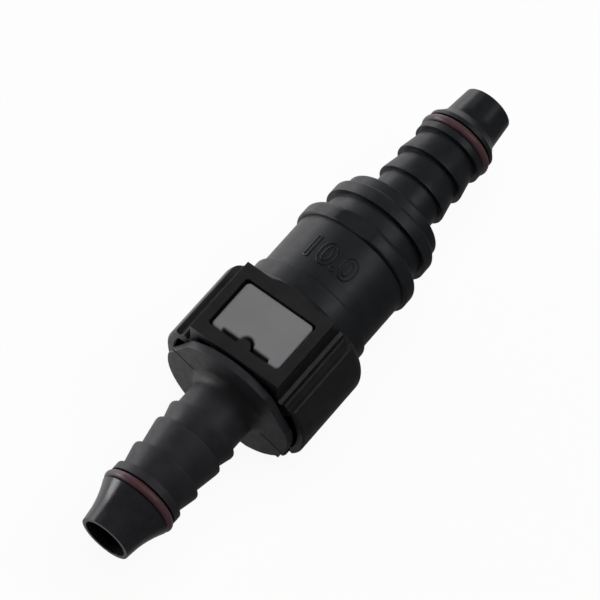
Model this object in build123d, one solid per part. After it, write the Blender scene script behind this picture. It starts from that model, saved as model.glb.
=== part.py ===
from build123d import *

import os
from math import cos, hypot, radians, sin, tan

# Quick disconnect coupling for a 9.89 mm spigot, shown coupled.
# The flow axis is +X, from the male hose end to the female hose end, and +Z goes
# out through the button. All sizes are in millimetres. Stations along the axis are
# worked out from the end of the male tail, and the origin is halfway along the axis.

# Hose tails: both have the same barbs, seal groove and bore form
tail_tip_radius = 3.76
barb_crest_radius = 5.39
barb_valley_radius = 4.64
barb_land = 0.3
tail_collar_radius = 5.35
tail_seal_radius = 5.62
tail_seal_section = 0.65
tail_groove_length = 1.65
tail_edge_round = 0.1
flare_hollow = 0.04

# Male connector
male_bore_radius = 3.2
spigot_bore_radius = 3.7
male_nose_length = 2.1
male_nose_end_radius = 4.02
male_flare_length = 3.9
male_collar_length = 1.2
male_first_barb = 3.55
male_middle_barb = 4.55
male_last_barb = 3.0
male_neck_length = 5.2
male_neck_radius = 4.8
flange_radius = 10.15
flange_length = 1.2
flange_edge_round = 0.15
flange_flats = 3
flange_flat_distance = 9.55
flange_turn = 30.0
neck_fillet = 1.4
parting_turn = 24.0
parting_width = 0.22
parting_height = 0.05
gate_length = 1.4
gate_height = 0.35
gate_round = 0.3
spigot_radius = 4.945
spigot_length = 26.9
spigot_lead = 0.7
bead_radius = 6.1
bead_land = 1.1
bead_lead = 1.1

# Lock housing
mouth_gap = 0.4
housing_radius = 11.58
housing_length = 13.35
housing_rear_round = 1.6
housing_front_chamfer = 0.25
core_radius = 11.05
core_rear_round = 2.0
block_length = 12.15
block_width = 14.5
block_height = 21.0
block_edge_round = 0.15
chamber_radius = 8.9
chamber_length = 10.2
wing_wall = 1.3
wing_half_height = 4.4
wing_length = 7.6
mouth_chamfer = 0.2
groove_floor_height = 6.1
groove_floor_rise = 0.25
rib_depth = 0.88
rib_angle = 38.8
rib_round = 0.3
wing_edge_angle = 31.9
wing_edge_round = 0.35
groove_depth = 1.15

# Locking clip: button pad, two legs behind the bead and their ramps
button_setback = 2.6
button_length = 7.4
button_width = 11.0
button_thickness = 2.0
button_recess = 0.25
button_corner = 0.7
button_edge_round = 0.35
button_travel = 1.6
notch_radius = 1.05
notch_lip_round = 0.3
ear_width = 1.7
ear_gap = 0.1
ear_root_round = 0.2
window_side_gap = 0.35
window_front_gap = 0.7
window_rear_gap = 0.15
window_corner = 0.5
leg_setback = 0.3
leg_length = 2.2
leg_thickness = 1.5
leg_clearance = 0.1
leg_shoulder_height = 5.6
latch_gap = 0.1
ramp_angle = 35.0
ramp_top_height = -4.0
ramp_top_half_width = 5.0
ramp_gap = 0.1
saddle_clearance = 0.3

# Female body
band_radius = 9.31
band_length = 2.8
band_round = 0.25
barrel_radius = 8.8
barrel_length = 8.75
shoulder_radius = 9.33
shoulder_length = 2.6
shoulder_front_round = 0.35
shoulder_rear_round = 0.9
shoulder_flat_height = 8.95
waist_radius = 7.6
waist_length = 2.9
wide_ring_radius = 8.37
wide_ring_length = 2.1
narrow_ring_radius = 7.47
narrow_ring_length = 1.95
ring_round = 0.5
female_neck_radius = 4.78
female_neck_length = 3.95
female_bore_radius = 3.25
body_bore_radius = 4.2
bore_cone_length = 1.0
female_nose_length = 4.3
female_nose_end_radius = 4.15
female_flare_length = 1.7
female_lip_length = 0.6
female_collar_length = 1.05
female_barb = 4.05
sleeve_radius = 8.3
sleeve_length = 3.1
snap_height = 0.3
snap_length = 0.8

# Seals between the spigot and the body
running_gap = 0.05
seat_gap = 0.05
seal_section = 1.8
seal_side_gap = 0.15
spacer_length = 2.0
bush_length = 2.6
spigot_end_gap = 0.4

# Stations along the axis
male_barb_lengths = (male_first_barb, male_middle_barb, male_last_barb)
male_groove_start = male_nose_length + male_flare_length
male_collar_end = male_groove_start + tail_groove_length + male_collar_length
flange_front = male_collar_end + sum(male_barb_lengths) + male_neck_length
flange_rear = flange_front + flange_length
housing_front = flange_rear + mouth_gap
housing_rear = housing_front + housing_length
button_front = housing_front + button_setback
button_rear = button_front + button_length
leg_front = button_front + leg_setback
leg_rear = leg_front + leg_length
bead_start = leg_rear + latch_gap
spigot_end = flange_rear + spigot_length
band_rear = housing_rear + band_length
barrel_rear = band_rear + barrel_length
shoulder_rear = barrel_rear + shoulder_length
wide_ring_front = shoulder_rear + waist_length
wide_ring_rear = wide_ring_front + wide_ring_length
narrow_ring_rear = wide_ring_rear + narrow_ring_length
female_barbs_start = narrow_ring_rear + female_neck_length
female_tail_length = (
    female_nose_length
    + female_flare_length
    + female_lip_length
    + tail_groove_length
    + female_collar_length
    + 2 * female_barb
)
overall_length = female_barbs_start + female_tail_length

# Radii and stations of the seal stack
pilot_radius = spigot_radius + running_gap
gland_radius = pilot_radius + seal_section + seat_gap
seal_ring_radius = pilot_radius + seal_section / 2
seal_slot = seal_section + 2 * seal_side_gap
gland_front = housing_rear - sleeve_length
front_seal_station = gland_front + bush_length + seal_slot / 2
spacer_front = gland_front + bush_length + seal_slot
rear_seal_station = spacer_front + spacer_length + seal_slot / 2
gland_rear = rear_seal_station + seal_slot / 2
pilot_end = spigot_end + spigot_end_gap

# Heights of the button and of the legs
top_height = block_height / 2
button_top = top_height - button_recess
button_underside = button_top - button_thickness
leg_inner = spigot_radius + leg_clearance
leg_outer = leg_inner + leg_thickness
window_half_width = button_width / 2 + window_side_gap
window_front = button_front - window_front_gap
window_rear = button_rear + window_rear_gap
wing_inner_radius = housing_radius - wing_wall
rib_radius = housing_radius - rib_depth

# How far a cutting shape reaches past the surface that it opens
cut_margin = 1.0


def rounded(face, corners, radius):
    """Round the corners of a flat face that lie nearest to the given points."""
    picked = []
    for across, up in corners:
        picked.append(min(face.vertices(), key=lambda v: (v.X - across) ** 2 + (v.Y - up) ** 2))
    return fillet(picked, radius)


def rod(front, rear, radius):
    """A plain round bar about the flow axis between two stations."""
    return Pos((front + rear) / 2, 0, 0) * Rot(0, 90, 0) * Cylinder(radius, rear - front)


def ring(front, rear, outer, inner):
    """A plain ring about the flow axis between two stations."""
    return rod(front, rear, outer) - rod(front, rear, inner)


def o_ring(station, centre_radius, section_radius):
    """A round-section seal about the flow axis."""
    return Pos(station, 0, 0) * Rot(0, 90, 0) * Torus(centre_radius, section_radius)


def section_block(face, front, rear):
    """Extrude a face drawn in the Y-Z plane from one station to another."""
    return Pos(front, 0, 0) * extrude(Plane.YZ * face, rear - front)


def mirrored_in_y(solid):
    return solid + mirror(solid, Plane.XZ)


def in_four_quadrants(face):
    half = face + mirror(face, Plane.YZ)
    return half + mirror(half, Plane.XZ)


def tail_outline(nose_length, nose_end_radius, flare_length, lip_length, collar_length, barbs):
    """Outer line of a hose tail, from its tip towards the body.

    Returns the edges, the last point, and the station of the seal groove.
    """
    flare_start = Vector(nose_length, nose_end_radius)
    flare_end = Vector(nose_length + flare_length, tail_collar_radius)
    sag = Vector(0, -flare_hollow * flare_length)
    groove_front = nose_length + flare_length + lip_length
    groove_rear = groove_front + tail_groove_length
    groove_floor = tail_seal_radius - 2 * tail_seal_section - running_gap
    station = groove_rear + collar_length
    points = [
        flare_end,
        Vector(groove_front, tail_collar_radius),
        Vector(groove_front, groove_floor),
        Vector(groove_rear, groove_floor),
        Vector(groove_rear, tail_collar_radius),
        Vector(station, tail_collar_radius),
    ]
    if lip_length == 0:
        points.pop(0)
    for length in barbs:
        points.append(Vector(station, barb_valley_radius))
        station += length
        points.append(Vector(station - barb_land, barb_crest_radius))
        points.append(Vector(station, barb_crest_radius))
    edges = Line((0, tail_tip_radius), flare_start)
    edges += ThreePointArc(flare_start, (flare_start + flare_end) / 2 + sag, flare_end)
    edges += Polyline(*points)
    return edges, points[-1], (groove_front + groove_rear) / 2


def male_seal_station():
    return male_groove_start + tail_groove_length / 2


def female_seal_station():
    from_tip = female_nose_length + female_flare_length + female_lip_length
    return overall_length - from_tip - tail_groove_length / 2


def parting_marks():
    """Fine ridge across the flange where the mould halves met, and the gate's stub."""
    neck_foot = male_neck_radius + neck_fillet
    ridge_length = flange_radius - flange_edge_round - neck_foot
    ridge_middle = neck_foot + ridge_length / 2
    ridge = Box(2 * parting_height, ridge_length, parting_width)
    gate = Box(flange_length, 2 * gate_height, gate_length)
    gate = fillet(gate.edges(), gate_round)
    marks = Pos(flange_front, ridge_middle, 0) * ridge
    marks += Pos(flange_front, -ridge_middle, 0) * ridge
    marks += Pos(flange_front + flange_length / 2, -flange_radius, 0) * gate
    return Rot(parting_turn, 0, 0) * marks


def male_connector():
    """Hose tail, flange with three flats, and the spigot with its locking bead."""
    edges, last, _ = tail_outline(
        male_nose_length,
        male_nose_end_radius,
        male_flare_length,
        0,
        male_collar_length,
        male_barb_lengths,
    )
    bead_crest_end = bead_start + bead_land
    body_line = Polyline(
        last,
        (last.X, male_neck_radius),
        (flange_front, male_neck_radius),
        (flange_front, flange_radius),
        (flange_rear, flange_radius),
        (flange_rear, spigot_radius),
        (bead_start, spigot_radius),
        (bead_start, bead_radius),
        (bead_crest_end, bead_radius),
        (bead_crest_end + bead_lead, spigot_radius),
        (spigot_end - spigot_lead, spigot_radius),
        (spigot_end, spigot_radius - spigot_lead / 2),
        (spigot_end, spigot_bore_radius),
        (flange_front + bore_cone_length, spigot_bore_radius),
        (flange_front, male_bore_radius),
        (0, male_bore_radius),
        (0, tail_tip_radius),
    )
    face = make_face(edges + body_line)
    face = rounded(face, [(flange_front, male_neck_radius)], neck_fillet)
    face = rounded(face, [(last.X, barb_crest_radius)], tail_edge_round)
    solid = revolve(face, Axis.X)
    outside_start = (Align.CENTER, Align.MIN, Align.CENTER)
    beside = Box(2 * overall_length, flange_radius, 2 * flange_radius, align=outside_start)
    for number in range(flange_flats):
        turn = flange_turn + number * 360 / flange_flats
        solid -= Rot(turn, 0, 0) * Pos(0, flange_flat_distance, 0) * beside
    face_edges = solid.edges().filter_by_position(Axis.X, flange_front, flange_front)
    neck_foot = male_neck_radius + neck_fillet

    def near_rim(edge):
        middle = edge @ 0.5
        return hypot(middle.Y, middle.Z) > neck_foot + cut_margin

    return fillet(face_edges.filter_by(near_rim), flange_edge_round) + parting_marks()


def female_body():
    """Sleeve, band, barrel, shoulder, stepped rings and hose tail in one moulding."""
    edges, last, _ = tail_outline(
        female_nose_length,
        female_nose_end_radius,
        female_flare_length,
        female_lip_length,
        female_collar_length,
        (female_barb, female_barb),
    )
    snap_front = housing_rear - sleeve_length / 2 - snap_length / 2

    def from_tip(station, radius):
        return (overall_length - station, radius)

    body_line = Polyline(
        last,
        (last.X, female_neck_radius),
        from_tip(narrow_ring_rear, female_neck_radius),
        from_tip(narrow_ring_rear, narrow_ring_radius),
        from_tip(wide_ring_rear, narrow_ring_radius),
        from_tip(wide_ring_rear, wide_ring_radius),
        from_tip(wide_ring_front, wide_ring_radius),
        from_tip(wide_ring_front, waist_radius),
        from_tip(shoulder_rear, waist_radius),
        from_tip(shoulder_rear, shoulder_radius),
        from_tip(barrel_rear, shoulder_radius),
        from_tip(barrel_rear, barrel_radius),
        from_tip(band_rear, barrel_radius),
        from_tip(band_rear, band_radius),
        from_tip(housing_rear, band_radius),
        from_tip(housing_rear, sleeve_radius),
        from_tip(snap_front + snap_length, sleeve_radius),
        from_tip(snap_front + snap_length, sleeve_radius + snap_height),
        from_tip(snap_front, sleeve_radius),
        from_tip(gland_front, sleeve_radius),
        from_tip(gland_front, gland_radius),
        from_tip(gland_rear, gland_radius),
        from_tip(gland_rear, pilot_radius),
        from_tip(pilot_end, pilot_radius),
        from_tip(pilot_end, body_bore_radius),
        from_tip(narrow_ring_rear - bore_cone_length, body_bore_radius),
        from_tip(narrow_ring_rear, female_bore_radius),
        (0, female_bore_radius),
        (0, tail_tip_radius),
    )
    face = make_face(edges + body_line)
    ring_corners = [
        from_tip(narrow_ring_rear, narrow_ring_radius),
        from_tip(wide_ring_rear, wide_ring_radius),
    ]
    face = rounded(face, ring_corners, ring_round)
    face = rounded(face, [from_tip(shoulder_rear, shoulder_radius)], shoulder_rear_round)
    face = rounded(face, [from_tip(barrel_rear, shoulder_radius)], shoulder_front_round)
    face = rounded(face, [from_tip(band_rear, band_radius)], band_round)
    solid = mirror(revolve(face, Axis.X), Plane.YZ)
    solid = Pos(overall_length, 0, 0) * solid
    flat_middle = (barrel_rear + shoulder_rear) / 2
    above = Box(shoulder_length, 2 * shoulder_radius, shoulder_radius)
    return solid - Pos(flat_middle, 0, shoulder_flat_height + shoulder_radius / 2) * above


def side_groove():
    """Groove beside a block with one thin rib standing in it (upper +Y quadrant)."""
    rib = Vector(rib_radius * cos(radians(rib_angle)), rib_radius * sin(radians(rib_angle)))
    edge_up = housing_radius * sin(radians(wing_edge_angle))
    edge = Vector(housing_radius * cos(radians(wing_edge_angle)), edge_up)
    wall = block_width / 2
    floor = Vector((wall + rib.X) / 2, groove_floor_height)
    second_floor = (rib + edge) / 2 - Vector(0, groove_depth / 2)
    outline = Polyline(
        (wall, 2 * housing_radius),
        (wall, groove_floor_height + groove_floor_rise),
        floor,
        rib,
        second_floor,
        edge,
        edge + Vector(housing_radius, 0),
        close=True,
    )
    return rounded(make_face(outline), [(rib.X, rib.Y)], rib_round)


def head_section():
    """Section of the head across the axis: wings at the sides, a block above and below."""
    section = Circle(housing_radius) - in_four_quadrants(side_groove())
    section += Rectangle(block_width, block_height)
    section &= Rectangle(2 * housing_radius, block_height)
    edge_across = housing_radius * cos(radians(wing_edge_angle))
    edge_up = housing_radius * sin(radians(wing_edge_angle))
    wing_edges = []
    block_corners = []
    for side in (-1, 1):
        for level in (-1, 1):
            wing_edges.append((side * edge_across, level * edge_up))
            block_corners.append((side * block_width / 2, level * block_height / 2))
    section = rounded(section, wing_edges, wing_edge_round)
    return rounded(section, block_corners, block_edge_round)


def turned_blank(radius, rear_round):
    """Solid of revolution as long as the head, with a rounded rear rim."""
    outline = Rectangle(housing_length, radius, align=(Align.MIN, Align.MIN))
    outline = rounded(outline, [(housing_length, radius)], rear_round)
    front_corner = min(outline.vertices(), key=lambda v: v.X**2 + (v.Y - radius) ** 2)
    outline = chamfer(front_corner, housing_front_chamfer)
    return Pos(housing_front, 0, 0) * revolve(outline, Axis.X)


def window_cut():
    """Window for the button, with the tongue that enters its notch left standing."""
    length = window_rear - window_front
    opening = RectangleRounded(length, 2 * window_half_width, window_corner)
    opening = Pos((window_front + window_rear) / 2, 0) * opening
    tongue = Pos(window_front, 0) * Circle(notch_radius)
    return extrude(Plane.XY * (opening - tongue), top_height + cut_margin)


def mouth_section():
    """Opening of the mouth across the axis: the round chamber and the two side wings."""
    wings = Circle(wing_inner_radius) & Rectangle(2 * housing_radius, 2 * wing_half_height)
    return wings + Circle(chamber_radius)


def chamber_cut():
    """Inside of the head: mouth, chamber for the legs and the bead, and the body's socket."""
    rear = housing_front + chamber_length
    cut = rod(housing_front - cut_margin, rear, chamber_radius)
    under_window = Box(chamber_length, 2 * window_half_width, 2 * chamber_radius)
    cut += Pos(housing_front + chamber_length / 2, 0, 0) * under_window
    wings = section_block(mouth_section(), housing_front - cut_margin, housing_front + wing_length)
    cut += wings
    flare = extrude(Plane.YZ * offset(mouth_section(), mouth_chamfer), mouth_chamfer, taper=45)
    cut += Pos(housing_front, 0, 0) * flare
    cut += rod(rear - cut_margin, housing_rear + cut_margin, sleeve_radius + seat_gap)
    snap_middle = housing_rear - sleeve_length / 2
    snap_half = snap_length / 2 + seal_side_gap
    snap_radius = sleeve_radius + snap_height + seat_gap
    return cut + rod(snap_middle - snap_half, snap_middle + snap_half, snap_radius)


def leg_ramps():
    """Saddle on the floor of the chamber whose sloping sides spread the leg tips."""
    saddle_radius = bead_radius + saddle_clearance
    drop = chamber_radius + ramp_top_height
    foot = ramp_top_half_width + drop * tan(radians(ramp_angle))
    outline = Polyline(
        (-ramp_top_half_width, ramp_top_height),
        (ramp_top_half_width, ramp_top_height),
        (foot, -chamber_radius),
        (-foot, -chamber_radius),
        close=True,
    )
    face = (make_face(outline) - Circle(saddle_radius)) & Circle(chamber_radius + wing_wall / 2)
    front = leg_front - leg_setback
    return section_block(face, front, leg_rear + leg_setback)


def lock_housing():
    """Black head with the window frame, the side ribs and the mouth for the flange."""
    beside_block = Box(2 * overall_length, 2 * block_height, 2 * groove_floor_height)
    wings = turned_blank(housing_radius, housing_rear_round) & beside_block
    core = turned_blank(core_radius, core_rear_round)
    block = Box(block_length, block_width, block_height)
    block = fillet(block.edges().filter_by(Axis.Y), block_edge_round)
    block = Pos(housing_front + block_length / 2, 0, 0) * block
    across = section_block(head_section(), housing_front - cut_margin, housing_rear + cut_margin)
    outer = ((wings + core) & across) + (block & across)
    return outer - chamber_cut() - window_cut() + leg_ramps()


def button_pad():
    """Pad with a half-round notch in its front edge between two low front ears."""
    half_width = button_width / 2
    outline = Pos(button_front + button_length / 2, 0) * Rectangle(button_length, button_width)
    outline -= Pos(button_front, 0) * Circle(notch_radius)
    ear_front = window_front + ear_gap
    ear_inner = half_width - ear_width
    for side in (-1, 1):
        ear = Rectangle(button_rear - ear_front, ear_width, align=(Align.MIN, Align.CENTER))
        outline += Pos(ear_front, side * (half_width - ear_width / 2)) * ear
    corners = [(ear_front, -half_width), (ear_front, half_width)]
    corners += [(button_rear, -half_width), (button_rear, half_width)]
    outline = rounded(outline, corners, button_corner)
    lips = [(button_front, -notch_radius), (button_front, notch_radius)]
    outline = rounded(outline, lips, notch_lip_round)
    ear_ends = [(ear_front, -ear_inner), (ear_front, ear_inner)]
    ear_roots = [(button_front, -ear_inner), (button_front, ear_inner)]
    outline = rounded(outline, ear_ends + ear_roots, ear_root_round)
    pad = Pos(0, 0, button_underside) * extrude(Plane.XY * outline, button_thickness)
    return fillet(pad.faces().sort_by(Axis.Z)[-1].edges(), button_edge_round)


def clip_leg():
    """Leg on the +Y side: shoulder under the roof, latch face, and a wedge tip."""
    slope = tan(radians(ramp_angle))
    lift = ramp_gap / sin(radians(ramp_angle))
    inner_tip = ramp_top_height - (leg_inner - ramp_top_half_width) / slope + lift
    tip_across = leg_inner + leg_thickness / 4
    tip_down = inner_tip - (tip_across - leg_inner) / slope
    root_outer = button_width / 2
    root_inner = root_outer - leg_thickness
    outline = Polyline(
        (root_inner, button_underside + button_thickness / 2),
        (root_outer, button_underside + button_thickness / 2),
        (root_outer, leg_shoulder_height + leg_thickness),
        (leg_outer, leg_shoulder_height),
        (leg_outer, tip_down + leg_thickness / 2),
        (tip_across, tip_down),
        (leg_inner, inner_tip),
        (leg_inner, leg_shoulder_height - leg_thickness / 2),
        (root_inner, leg_shoulder_height + leg_thickness / 2),
        close=True,
    )
    return section_block(make_face(outline), leg_front, leg_rear)


def locking_clip():
    return button_pad() + mirrored_in_y(clip_leg())


def male_tail_seal():
    radius = tail_seal_radius - tail_seal_section
    return o_ring(male_seal_station(), radius, tail_seal_section)


def female_tail_seal():
    radius = tail_seal_radius - tail_seal_section
    return o_ring(female_seal_station(), radius, tail_seal_section)


def front_spigot_seal():
    return o_ring(front_seal_station, seal_ring_radius, seal_section / 2)


def rear_spigot_seal():
    return o_ring(rear_seal_station, seal_ring_radius, seal_section / 2)


def seal_spacer():
    outer = gland_radius - seat_gap
    return ring(spacer_front, spacer_front + spacer_length, outer, pilot_radius)


def seal_retainer():
    outer = gland_radius - seat_gap
    return ring(gland_front, gland_front + bush_length, outer, pilot_radius + seat_gap)


pieces = {
    "male_connector": male_connector(),
    "male_tail_o_ring": male_tail_seal(),
    "lock_housing": lock_housing(),
    "locking_clip": locking_clip(),
    "female_body": female_body(),
    "female_tail_o_ring": female_tail_seal(),
    "seal_retainer": seal_retainer(),
    "front_spigot_o_ring": front_spigot_seal(),
    "seal_spacer": seal_spacer(),
    "rear_spigot_o_ring": rear_spigot_seal(),
}

os.makedirs("parts", exist_ok=True)
for name, solid in pieces.items():
    centred = Pos(-overall_length / 2, 0, 0) * solid
    centred.label = name
    export_step(centred, f"parts/{name}.step")

print(f"overall length {overall_length:.2f} mm")
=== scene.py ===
from math import cos, radians, sin

import bmesh
import bpy
from mathutils import Matrix, Vector


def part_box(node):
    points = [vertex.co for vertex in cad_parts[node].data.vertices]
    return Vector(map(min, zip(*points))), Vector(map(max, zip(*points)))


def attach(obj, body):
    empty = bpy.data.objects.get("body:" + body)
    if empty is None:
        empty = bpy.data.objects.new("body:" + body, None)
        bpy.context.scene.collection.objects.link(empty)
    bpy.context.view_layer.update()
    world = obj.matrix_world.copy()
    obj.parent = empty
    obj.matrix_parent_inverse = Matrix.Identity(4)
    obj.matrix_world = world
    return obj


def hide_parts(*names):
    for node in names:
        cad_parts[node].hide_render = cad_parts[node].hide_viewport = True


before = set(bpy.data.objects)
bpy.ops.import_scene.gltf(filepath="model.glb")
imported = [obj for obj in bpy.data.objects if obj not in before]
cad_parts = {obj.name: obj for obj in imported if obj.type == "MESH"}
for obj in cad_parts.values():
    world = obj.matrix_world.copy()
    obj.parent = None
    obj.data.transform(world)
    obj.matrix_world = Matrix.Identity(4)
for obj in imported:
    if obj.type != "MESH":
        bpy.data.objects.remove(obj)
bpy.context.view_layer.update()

# The bench: a plain white table under the coupling, as in a catalogue picture.
# It shows nearly white to the camera and keeps a light shadow. In the part's gloss it glows
# as a painted reflection, brighter on its far side than on its near one, which paints sheen
# onto the flanks of the part that face it. It is studio, not part.
mm = 0.001
table_gap = 0.05 * mm
table_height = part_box("lock_housing")[0].z - table_gap
table_half_size = 1.2
white_share = 0.93
bench_grey = (0.8, 0.8, 0.8)
# Painted reflection: how brightly the bench glows in the part's gloss, stepped from its near
# side to its far side.
painted_sheen_reach = 40 * mm
painted_sheen_steps = ((0.0, 0.05), (0.3, 0.06), (0.42, 0.22), (0.55, 0.35), (0.88, 1.0))

table_mesh = bmesh.new()
bmesh.ops.create_grid(table_mesh, x_segments=1, y_segments=1, size=table_half_size)
bmesh.ops.translate(table_mesh, vec=(0, 0, table_height), verts=table_mesh.verts)
table_data = bpy.data.meshes.new("bench_top")
table_mesh.to_mesh(table_data)
table_mesh.free()
bench = bpy.data.objects.new("bench_top", table_data)
bpy.context.scene.collection.objects.link(bench)

bench_paint = bpy.data.materials.new("bench_white")
bench_paint.use_nodes = True
bench_nodes = bench_paint.node_tree.nodes
bench_links = bench_paint.node_tree.links
bench_nodes.clear()
bench_out = bench_nodes.new("ShaderNodeOutputMaterial")
bench_seen = bench_nodes.new("ShaderNodeMixShader")
bench_mirrored = bench_nodes.new("ShaderNodeMixShader")
bench_white = bench_nodes.new("ShaderNodeEmission")
bench_painted_reflection = bench_nodes.new("ShaderNodeEmission")
bench_matt = bench_nodes.new("ShaderNodeBsdfDiffuse")
bench_eye = bench_nodes.new("ShaderNodeLightPath")
bench_share = bench_nodes.new("ShaderNodeMath")
bench_share.operation = "MULTIPLY"
bench_share.inputs[1].default_value = white_share
bench_white.inputs["Color"].default_value = (1, 1, 1, 1)
bench_white.inputs["Strength"].default_value = 1.0
bench_painted_reflection.inputs["Strength"].default_value = 1.0
bench_matt.inputs["Color"].default_value = (*bench_grey, 1)
# Painted reflection: in glossy rays the bench glows by a ramp along its Y, not by any lamp.
bench_place = bench_nodes.new("ShaderNodeTexCoord")
bench_axes = bench_nodes.new("ShaderNodeSeparateXYZ")
bench_fade = bench_nodes.new("ShaderNodeMapRange")
bench_fade.inputs["From Min"].default_value = -painted_sheen_reach
bench_fade.inputs["From Max"].default_value = painted_sheen_reach
bench_ramp = bench_nodes.new("ShaderNodeValToRGB")
for number, (place, level) in enumerate(painted_sheen_steps):
    if number < 2:
        step = bench_ramp.color_ramp.elements[number]
        step.position = place
    else:
        step = bench_ramp.color_ramp.elements.new(place)
    step.color = (level, level, level, 1)
bench_links.new(bench_place.outputs["Object"], bench_axes.inputs[0])
bench_links.new(bench_axes.outputs["Y"], bench_fade.inputs["Value"])
bench_links.new(bench_fade.outputs[0], bench_ramp.inputs[0])
bench_links.new(bench_ramp.outputs[0], bench_painted_reflection.inputs["Color"])
bench_links.new(bench_eye.outputs["Is Glossy Ray"], bench_mirrored.inputs[0])
bench_links.new(bench_matt.outputs[0], bench_mirrored.inputs[1])
bench_links.new(bench_painted_reflection.outputs[0], bench_mirrored.inputs[2])
bench_links.new(bench_eye.outputs["Is Camera Ray"], bench_share.inputs[0])
bench_links.new(bench_share.outputs[0], bench_seen.inputs[0])
bench_links.new(bench_mirrored.outputs[0], bench_seen.inputs[1])
bench_links.new(bench_white.outputs[0], bench_seen.inputs[2])
bench_links.new(bench_seen.outputs[0], bench_out.inputs["Surface"])
bench.data.materials.append(bench_paint)

# The light: a soft box above gives the plain level and no mirror image. A low wide one
# puts the sheen on the left flanks, with a small one above it and one beside it for the
# nose, and a weak one on the right draws the thin line there. The room is dim.
lamp_distance = 0.9
room_grey = (0.04, 0.04, 0.042)
cool_white = (0.95, 0.95, 1.0)

room = bpy.data.worlds.new("room")
bpy.context.scene.world = room
room.use_nodes = True
room_light = room.node_tree.nodes["Background"]
room_light.inputs["Color"].default_value = (*room_grey, 1)
room_light.inputs["Strength"].default_value = 1.0


def soft_box(name, azimuth, elevation, width, height, watts):
    """A rectangular lamp that looks at the part from the given direction."""
    lamp = bpy.data.lights.new(name, "AREA")
    lamp.shape = "RECTANGLE"
    lamp.size = width
    lamp.size_y = height
    lamp.energy = watts
    holder = bpy.data.objects.new(name, lamp)
    bpy.context.scene.collection.objects.link(holder)
    side, rise = radians(azimuth), radians(elevation)
    place = Vector((sin(side) * cos(rise), -cos(side) * cos(rise), sin(rise))) * lamp_distance
    holder.location = place
    holder.rotation_euler = place.to_track_quat("Z", "Y").to_euler()
    return holder


top_box = soft_box("top_box", azimuth=60, elevation=72, width=0.9, height=0.9, watts=8.4)
top_box.visible_glossy = False
soft_box("right_box", azimuth=33, elevation=42, width=0.35, height=0.35, watts=0.6)
left_box = soft_box("left_box", azimuth=172, elevation=10, width=1.3, height=0.4, watts=3.6)
left_box.data.color = cool_white
soft_box("end_box", azimuth=203, elevation=8, width=0.5, height=0.5, watts=2.6)
soft_box("rear_box", azimuth=150, elevation=40, width=0.6, height=0.25, watts=0.3)

# The camera: a long lens from above and in front of the male tail.
# Its direction and distance give the mild perspective of a catalogue picture.
view_azimuth = radians(-52.34)
view_elevation = radians(61.9)
view_roll = radians(0.56)
view_distance = 443.7 * mm
view_aim = Vector((1.305, 1.473, 1.032)) * mm
lens_length = 199.46
film_width = 36

camera_data = bpy.data.cameras.new("camera")
camera_data.sensor_width = film_width
camera_data.lens = lens_length
camera = bpy.data.objects.new("camera", camera_data)
bpy.context.scene.collection.objects.link(camera)
back = Vector(
    (
        sin(view_azimuth) * cos(view_elevation),
        -cos(view_azimuth) * cos(view_elevation),
        sin(view_elevation),
    )
)
right = Vector((0, 0, 1)).cross(back).normalized()
up = back.cross(right)
turn = Matrix((right, up, back)).transposed().to_4x4()
placed = Matrix.Translation(view_aim + back * view_distance) @ turn
camera.matrix_world = placed @ Matrix.Rotation(view_roll, 4, "Z")
bpy.context.scene.camera = camera
bpy.context.scene.view_settings.view_transform = "Standard"

# Female body: sleeve, barrel, shoulder, stepped rings and hose tail, injection
# moulded in one piece from dark grey nylon with glass fibre. Its skin is fine matt,
# with a faint flow mottle, and the nose of the tail comes out of a polished insert.
sharp_angle = radians(36)
flat_angle = radians(0.3)
sliver = 0.002 * mm
edge_softness = 0.09 * mm
face_weight = 100
bevel_samples = 6
dark_share, pale_share = 0.32, 0.72
gloss_low, gloss_high = 0.3, 0.7
mottle_detail, mottle_roughness = 3, 0.6
pit_detail = 2
fleck_detail = 4
nylon_dark = (0.0077, 0.0083, 0.0097)
nylon_pale = (0.0108, 0.0116, 0.0134)
nylon_patch = 2.2 * mm
nose_start = 35.1 * mm
nose_fade = 0.2 * mm
bore_reach = 3.4 * mm


def smooth_copy(node, body):
    """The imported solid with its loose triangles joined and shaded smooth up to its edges."""
    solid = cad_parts[node]
    skin = bmesh.new()
    skin.from_mesh(solid.data)
    bmesh.ops.remove_doubles(skin, verts=skin.verts, dist=sliver)
    bmesh.ops.dissolve_degenerate(skin, edges=skin.edges, dist=sliver)
    bmesh.ops.dissolve_limit(
        skin,
        angle_limit=flat_angle,
        use_dissolve_boundaries=False,
        verts=skin.verts,
        edges=skin.edges,
    )
    for face in skin.faces:
        face.smooth = True
    for edge in skin.edges:
        edge.smooth = edge.calc_face_angle(0) < sharp_angle
    data = bpy.data.meshes.new(node + "_skin")
    skin.to_mesh(data)
    skin.free()
    data.attributes.remove(data.attributes["custom_normal"])
    piece = bpy.data.objects.new(node + "_skin", data)
    bpy.context.scene.collection.objects.link(piece)
    weights = piece.modifiers.new("flat_faces_lead", "WEIGHTED_NORMAL")
    weights.keep_sharp = True
    weights.mode = "FACE_AREA"
    weights.weight = face_weight
    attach(piece, body)
    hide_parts(node)
    return piece


def new_paint(name, roughness):
    """A bare surface: its material, node tree, shader, and place on the piece."""
    paint = bpy.data.materials.new(name)
    paint.use_nodes = True
    tree = paint.node_tree
    shader = tree.nodes["Principled BSDF"]
    shader.inputs["Roughness"].default_value = roughness
    place = tree.nodes.new("ShaderNodeTexCoord").outputs["Object"]
    return paint, tree, shader, place


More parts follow.
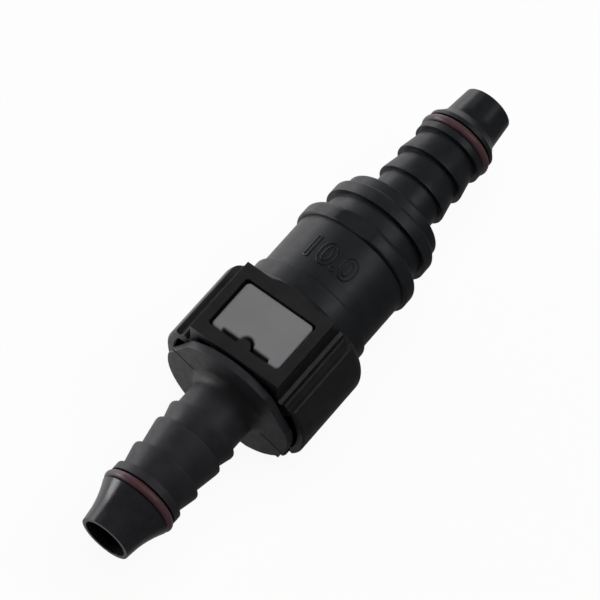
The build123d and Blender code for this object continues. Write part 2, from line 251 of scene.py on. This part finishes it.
def mottle(tree, shader, place, dark, pale, patch_size):
    """Slow change of colour over the surface, where the melt flowed together."""
    clouds = tree.nodes.new("ShaderNodeTexNoise")
    clouds.inputs["Scale"].default_value = 1 / patch_size
    clouds.inputs["Detail"].default_value = mottle_detail
    clouds.inputs["Roughness"].default_value = mottle_roughness
    shades = tree.nodes.new("ShaderNodeValToRGB")
    shades.color_ramp.elements[0].position = dark_share
    shades.color_ramp.elements[0].color = (*dark, 1)
    shades.color_ramp.elements[1].position = pale_share
    shades.color_ramp.elements[1].color = (*pale, 1)
    tree.links.new(place, clouds.inputs["Vector"])
    tree.links.new(clouds.outputs["Fac"], shades.inputs[0])
    tree.links.new(shades.outputs[0], shader.inputs["Base Color"])


def grain(tree, shader, place, grain_size, depth):
    """Fine skin of the mould, laid over edges that are slightly rounded."""
    rounding = tree.nodes.new("ShaderNodeBevel")
    rounding.samples = bevel_samples
    rounding.inputs["Radius"].default_value = edge_softness
    pits = tree.nodes.new("ShaderNodeTexNoise")
    pits.inputs["Scale"].default_value = 1 / grain_size
    pits.inputs["Detail"].default_value = pit_detail
    relief = tree.nodes.new("ShaderNodeBump")
    relief.inputs["Strength"].default_value = 1.0
    relief.inputs["Distance"].default_value = depth
    tree.links.new(place, pits.inputs["Vector"])
    tree.links.new(pits.outputs["Fac"], relief.inputs["Height"])
    tree.links.new(rounding.outputs[0], relief.inputs["Normal"])
    tree.links.new(relief.outputs[0], shader.inputs["Normal"])


def moulded(name, roughness, dark, pale, patch_size, grain_size, depth):
    """A mottled and grained surface: its material, node tree, shader and place."""
    paint, tree, shader, place = new_paint(name, roughness)
    mottle(tree, shader, place, dark, pale, patch_size)
    grain(tree, shader, place, grain_size, depth)
    return paint, tree, shader, place


def uneven_gloss(tree, shader, place, patch_size, smooth, rough):
    """Roughness that wanders between two values; returns it."""
    clouds = tree.nodes.new("ShaderNodeTexNoise")
    clouds.inputs["Scale"].default_value = 1 / patch_size
    clouds.inputs["Detail"].default_value = fleck_detail
    spread = tree.nodes.new("ShaderNodeMapRange")
    spread.inputs["From Min"].default_value = gloss_low
    spread.inputs["From Max"].default_value = gloss_high
    spread.inputs["To Min"].default_value = smooth
    spread.inputs["To Max"].default_value = rough
    tree.links.new(place, clouds.inputs["Vector"])
    tree.links.new(clouds.outputs["Fac"], spread.inputs["Value"])
    tree.links.new(spread.outputs[0], shader.inputs["Roughness"])
    return spread.outputs[0]


def polished_ends(tree, shader, place, satin, gloss):
    """Gloss where the mould was polished: on the nose of the tail and in the bore."""
    axes = tree.nodes.new("ShaderNodeSeparateXYZ")
    tree.links.new(place, axes.inputs[0])
    along = tree.nodes.new("ShaderNodeMath")
    along.operation = "ABSOLUTE"
    tree.links.new(axes.outputs["X"], along.inputs[0])
    on_nose = tree.nodes.new("ShaderNodeMapRange")
    on_nose.inputs["From Min"].default_value = nose_start
    on_nose.inputs["From Max"].default_value = nose_start + nose_fade
    tree.links.new(along.outputs[0], on_nose.inputs["Value"])
    across = tree.nodes.new("ShaderNodeCombineXYZ")
    tree.links.new(axes.outputs["Y"], across.inputs["Y"])
    tree.links.new(axes.outputs["Z"], across.inputs["Z"])
    radius = tree.nodes.new("ShaderNodeVectorMath")
    radius.operation = "LENGTH"
    tree.links.new(across.outputs[0], radius.inputs[0])
    in_bore = tree.nodes.new("ShaderNodeMath")
    in_bore.operation = "LESS_THAN"
    in_bore.inputs[1].default_value = bore_reach
    tree.links.new(radius.outputs["Value"], in_bore.inputs[0])
    either = tree.nodes.new("ShaderNodeMath")
    either.operation = "MAXIMUM"
    tree.links.new(on_nose.outputs[0], either.inputs[0])
    tree.links.new(in_bore.outputs[0], either.inputs[1])
    finish = tree.nodes.new("ShaderNodeMix")
    finish.inputs["B"].default_value = gloss
    tree.links.new(either.outputs[0], finish.inputs["Factor"])
    tree.links.new(satin, finish.inputs["A"])
    tree.links.new(finish.outputs["Result"], shader.inputs["Roughness"])


nylon, nylon_tree, nylon_shader, nylon_place = moulded(
    "glass_filled_nylon",
    roughness=0.42,
    dark=nylon_dark,
    pale=nylon_pale,
    patch_size=nylon_patch,
    grain_size=0.09 * mm,
    depth=0.006 * mm,
)
nylon_satin = uneven_gloss(
    nylon_tree, nylon_shader, nylon_place, patch_size=1.1 * mm, smooth=0.36, rough=0.46
)
polished_ends(nylon_tree, nylon_shader, nylon_place, nylon_satin, gloss=0.3)
smooth_copy("female_body", "female").data.materials.append(nylon)

# Size mark on the barrel: a plain number in thin raised outlines, which a ball tool
# cut into the mould, so it stands proud of the skin and is of the same nylon.
mark_text = "10.0"
mark_letter_size = 4.9
mark_stroke_growth = 0.09
mark_line_radius = 0.12
mark_line_sides = 1
mark_curve_steps = 5
mark_join = 0.001
mark_middle = 5.5 * mm
mark_turn = radians(1.0)
barrel_radius = 8.8 * mm

mark_nylon, mark_tree, mark_shader, mark_place = new_paint("raised_mark_nylon", 0.2)
mottle(mark_tree, mark_shader, mark_place, nylon_dark, nylon_pale, nylon_patch)
mark_curve = bpy.data.curves.new("size_mark", "FONT")
mark_curve.body = mark_text
mark_curve.size = mark_letter_size
mark_curve.align_x = "CENTER"
mark_curve.align_y = "CENTER"
mark_curve.offset = mark_stroke_growth
mark_curve.fill_mode = "NONE"
mark_curve.bevel_depth = mark_line_radius
mark_curve.bevel_resolution = mark_line_sides
mark_curve.resolution_u = mark_curve_steps
mark_pattern = bpy.data.objects.new("size_mark_pattern", mark_curve)
mark_data = bpy.data.meshes.new_from_object(mark_pattern)
bpy.data.objects.remove(mark_pattern)
mark_mesh = bmesh.new()
mark_mesh.from_mesh(mark_data)
bmesh.ops.remove_doubles(mark_mesh, verts=mark_mesh.verts, dist=mark_join)
bmesh.ops.scale(mark_mesh, vec=(mm, mm, mm), verts=mark_mesh.verts)
for point in mark_mesh.verts:
    around = mark_turn + point.co.x / barrel_radius
    height = barrel_radius + point.co.z
    point.co = (mark_middle + point.co.y, -height * sin(around), height * cos(around))
mark_mesh.to_mesh(mark_data)
mark_mesh.free()
mark_data.shade_smooth()
mark_data.materials.clear()
mark_data.materials.append(mark_nylon)
size_mark = bpy.data.objects.new("size_mark", mark_data)
bpy.context.scene.collection.objects.link(size_mark)
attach(size_mark, "female")

# Seals and bushes inside the body: two black rubber rings on the spigot with a
# natural plastic spacer between them, held in by a plastic bush.
seal_rubber = moulded(
    "spigot_seal_rubber",
    roughness=0.35,
    dark=(0.012, 0.012, 0.012),
    pale=(0.02, 0.02, 0.02),
    patch_size=1.5 * mm,
    grain_size=0.15 * mm,
    depth=0.004 * mm,
)[0]
bush_plastic = moulded(
    "natural_bush_plastic",
    roughness=0.4,
    dark=(0.56, 0.53, 0.46),
    pale=(0.64, 0.61, 0.55),
    patch_size=3 * mm,
    grain_size=0.12 * mm,
    depth=0.004 * mm,
)[0]
for node, body, paint in (
    ("rear_spigot_o_ring", "seal_pack", seal_rubber),
    ("seal_spacer", "seal_pack", bush_plastic),
    ("front_spigot_o_ring", "seal_pack", seal_rubber),
    ("seal_retainer", "female", bush_plastic),
):
    smooth_copy(node, body).data.materials.append(paint)

# Lock housing: the black satin head that snaps onto the body's sleeve. Moulded in
# nylon too, with a slightly smoother skin than the body.
black_nylon, black_tree, black_shader, black_place = moulded(
    "black_nylon",
    roughness=0.4,
    dark=(0.0085, 0.0085, 0.0092),
    pale=(0.0125, 0.0125, 0.013),
    patch_size=2.6 * mm,
    grain_size=0.11 * mm,
    depth=0.005 * mm,
)
uneven_gloss(black_tree, black_shader, black_place, patch_size=1.4 * mm, smooth=0.34, rough=0.46)
smooth_copy("lock_housing", "female").data.materials.append(black_nylon)

# Locking clip: the grey button and its two springy legs, one acetal moulding, which
# is pushed into the head's window before the head goes onto the body.
grey_acetal = moulded(
    "grey_acetal",
    roughness=0.38,
    dark=(0.148, 0.148, 0.152),
    pale=(0.165, 0.163, 0.165),
    patch_size=3.5 * mm,
    grain_size=0.14 * mm,
    depth=0.003 * mm,
)[0]
smooth_copy("locking_clip", "button").data.materials.append(grey_acetal)

# Male connector: hose tail, flange and spigot in one moulding of a slightly paler
# nylon. The mould's halves meet along the ridge on the flange; the nose is polished.
male_nylon, male_tree, male_shader, male_place = moulded(
    "male_nylon",
    roughness=0.5,
    dark=(0.0125, 0.0122, 0.0142),
    pale=(0.0175, 0.0168, 0.0198),
    patch_size=nylon_patch,
    grain_size=0.09 * mm,
    depth=0.007 * mm,
)
male_satin = uneven_gloss(
    male_tree, male_shader, male_place, patch_size=1.1 * mm, smooth=0.42, rough=0.54
)
polished_ends(male_tree, male_shader, male_place, male_satin, gloss=0.18)
smooth_copy("male_connector", "male").data.materials.append(male_nylon)

# Seal rings on the two hose tails: red-brown rubber, moulded as plain round rings and
# stretched into the grooves between the last barb and the nose.
tail_rubber = moulded(
    "tail_seal_rubber",
    roughness=0.33,
    dark=(0.055, 0.026, 0.03),
    pale=(0.072, 0.034, 0.039),
    patch_size=1.4 * mm,
    grain_size=0.2 * mm,
    depth=0.004 * mm,
)[0]
smooth_copy("female_tail_o_ring", "female").data.materials.append(tail_rubber)
smooth_copy("male_tail_o_ring", "male").data.materials.append(tail_rubber)
